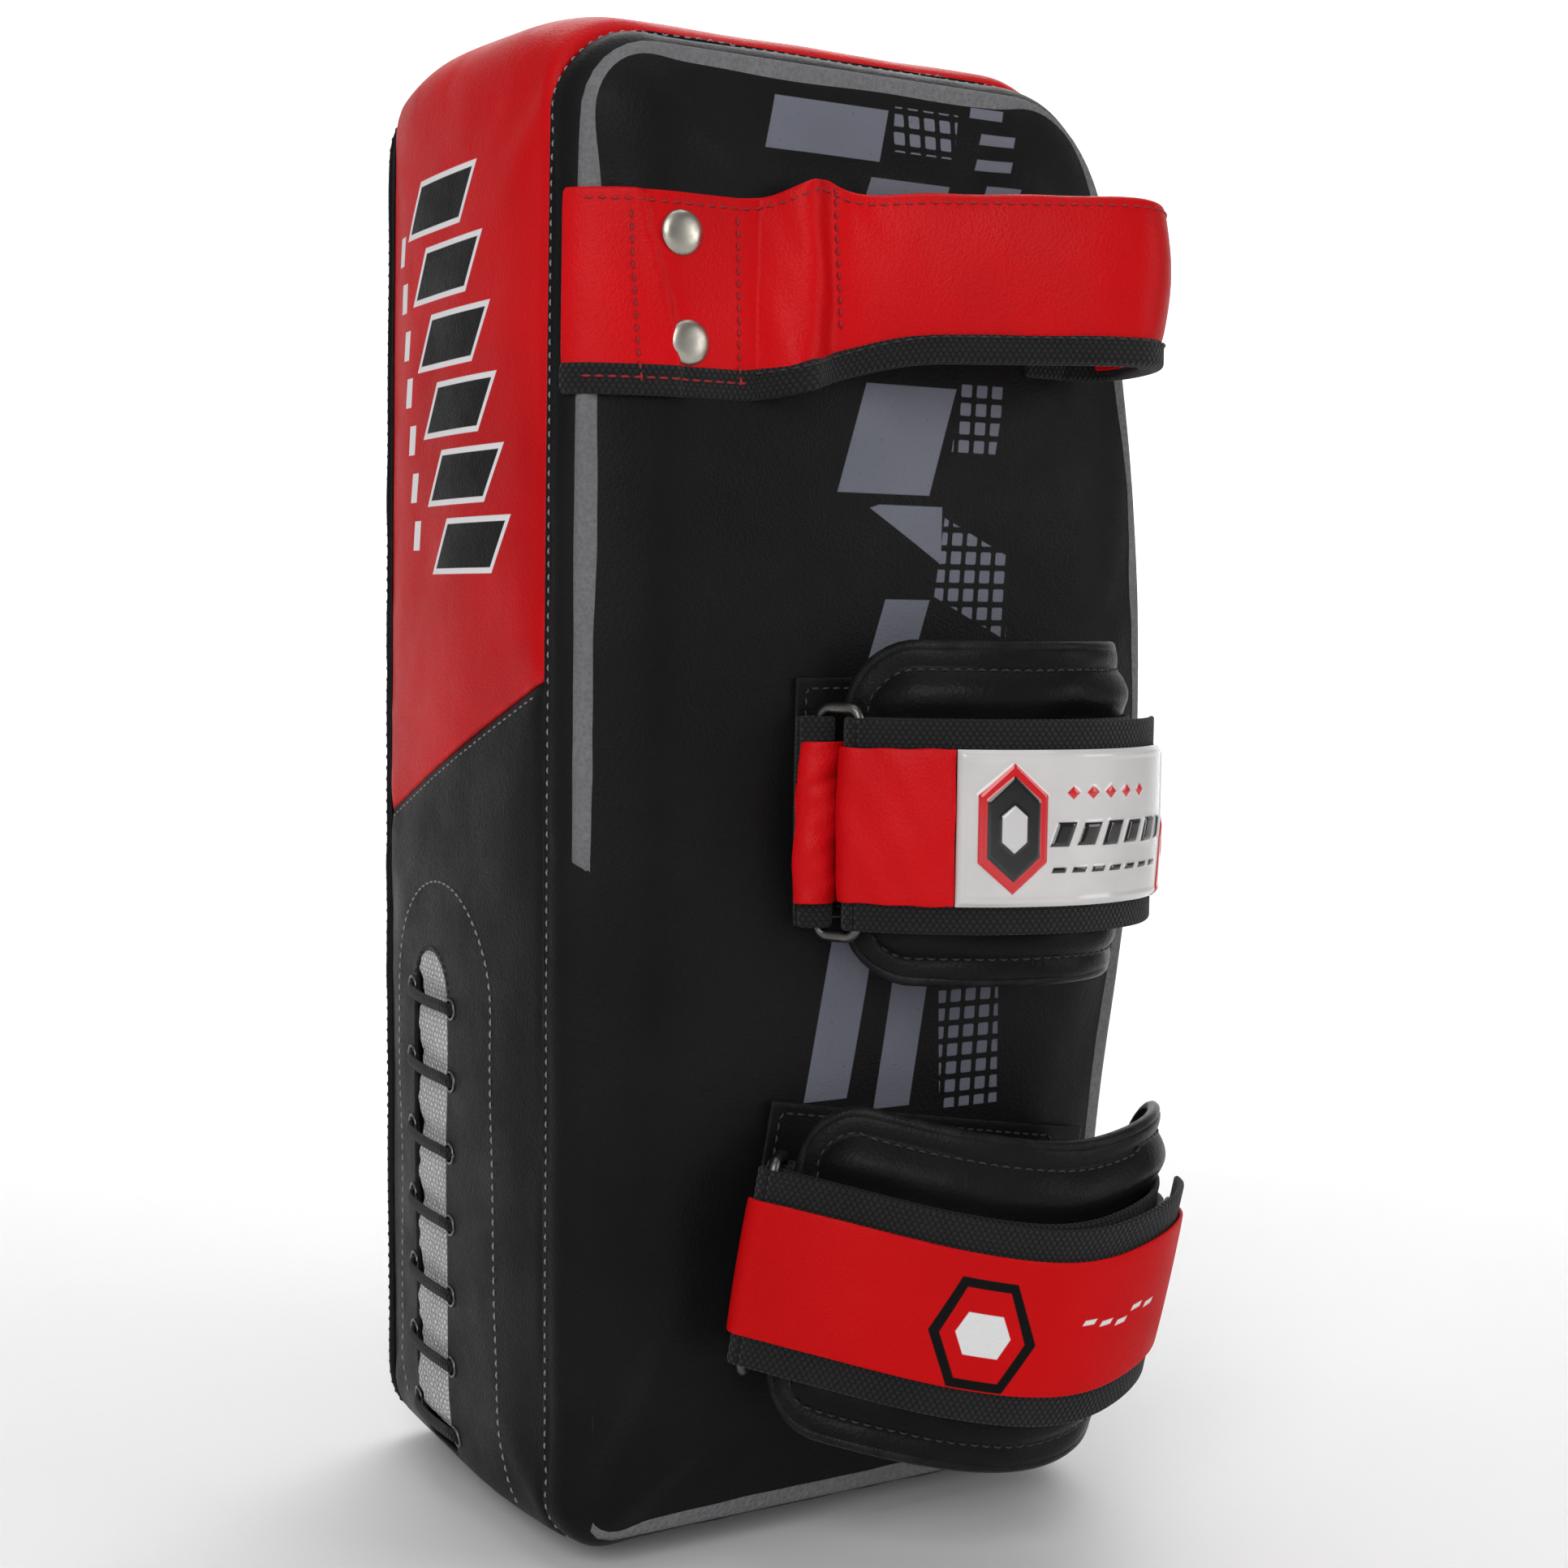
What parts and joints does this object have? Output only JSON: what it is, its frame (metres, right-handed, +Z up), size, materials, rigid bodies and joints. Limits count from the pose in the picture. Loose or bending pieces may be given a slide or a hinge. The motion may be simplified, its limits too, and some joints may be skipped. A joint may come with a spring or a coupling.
{
  "type": "thai pad",
  "caption": "Upright padded block with a grip handle, two forearm straps with padded cuffs and peelable flaps, and a laced side opening.",
  "frame": {"origin": "middle of the flat bottom end, on which the pad stands", "axes": "+Z up the pad's length, +Y out of the strike face, -Y out of the arm side, +X to the right seen from the arm side"},
  "size_m": [0.1907, 0.2018, 0.412],
  "materials": {
    "black_leather": "fine-grained synthetic leather, satin",
    "red_leather": "fine-grained synthetic leather, satin",
    "black_webbing": "ribbed woven polyester",
    "pale_webbing": "coarse woven polyester",
    "hook_loop_tape": "hook and loop pile",
    "lace": "flat woven lace",
    "foam": "closed-cell foam",
    "white_rubber": "moulded, glossy",
    "nickel_steel": "nickel plated"
  },
  "bodies": {
    "pad": {"back_panel": "black_leather", "strike_panel": "black_leather", "side_gusset_upper": "red_leather", "side_gusset_lower": "black_leather", "lace_facing": "black_leather", "lace_tongue": "pale_webbing", "lace": "lace", "foam_backing_layer": "foam", "foam_core_layer": "foam", "foam_strike_layer": "foam", "handle_band": "red_leather", "handle_binding": "black_webbing", "handle_grip_foam": "foam", "handle_lining": "red_leather", "rivet_left_lower": "nickel_steel", "rivet_burr_left_lower": "nickel_steel", "rivet_left_upper": "nickel_steel", "rivet_burr_left_upper": "nickel_steel", "rivet_right_lower": "nickel_steel", "rivet_burr_right_lower": "nickel_steel", "rivet_right_upper": "nickel_steel", "rivet_burr_right_upper": "nickel_steel", "upper_anchor_patch": "black_leather", "upper_ring_tab": "black_webbing", "upper_tab_cover": "red_leather", "upper_strap": "black_webbing", "upper_loop_tape": "hook_loop_tape", "upper_cuff": "black_leather", "lower_anchor_patch": "black_leather", "lower_ring_tab": "black_webbing", "lower_strap": "black_webbing", "lower_loop_tape": "hook_loop_tape", "lower_cuff": "black_leather"},
    "upper_flap_body": {"upper_hook_tape": "hook_loop_tape", "upper_flap": "black_webbing", "upper_flap_facing": "red_leather", "upper_badge": "white_rubber"},
    "lower_flap_body": {"lower_hook_tape": "hook_loop_tape", "lower_flap": "black_webbing", "lower_flap_facing": "red_leather"},
    "upper_ring_body": {"upper_ring": "nickel_steel"},
    "lower_ring_body": {"lower_ring": "nickel_steel"}
  },
  "joints": [
    {"name": "upper_flap_peel", "type": "hinge", "parent": "pad", "child": "upper_flap_body", "pos_m": [-0.01977, -0.09457, 0.2005], "axis": [0, 0, -1], "range_deg": [0, 100]},
    {"name": "lower_flap_peel", "type": "hinge", "parent": "pad", "child": "lower_flap_body", "pos_m": [-0.04909, -0.09385, 0.08402], "axis": [-0.1736, 0, -0.9848], "range_deg": [0, 100]},
    {"name": "upper_ring_rock", "type": "hinge", "parent": "pad", "child": "upper_ring_body", "pos_m": [-0.023, -0.0804, 0.2005], "axis": [0, 0, 1], "range_deg": [-2, 2]},
    {"name": "lower_ring_rock", "type": "hinge", "parent": "pad", "child": "lower_ring_body", "pos_m": [-0.03817, -0.0814, 0.08209], "axis": [0.1736, 0, 0.9848], "range_deg": [-2, 2]}
  ]
}
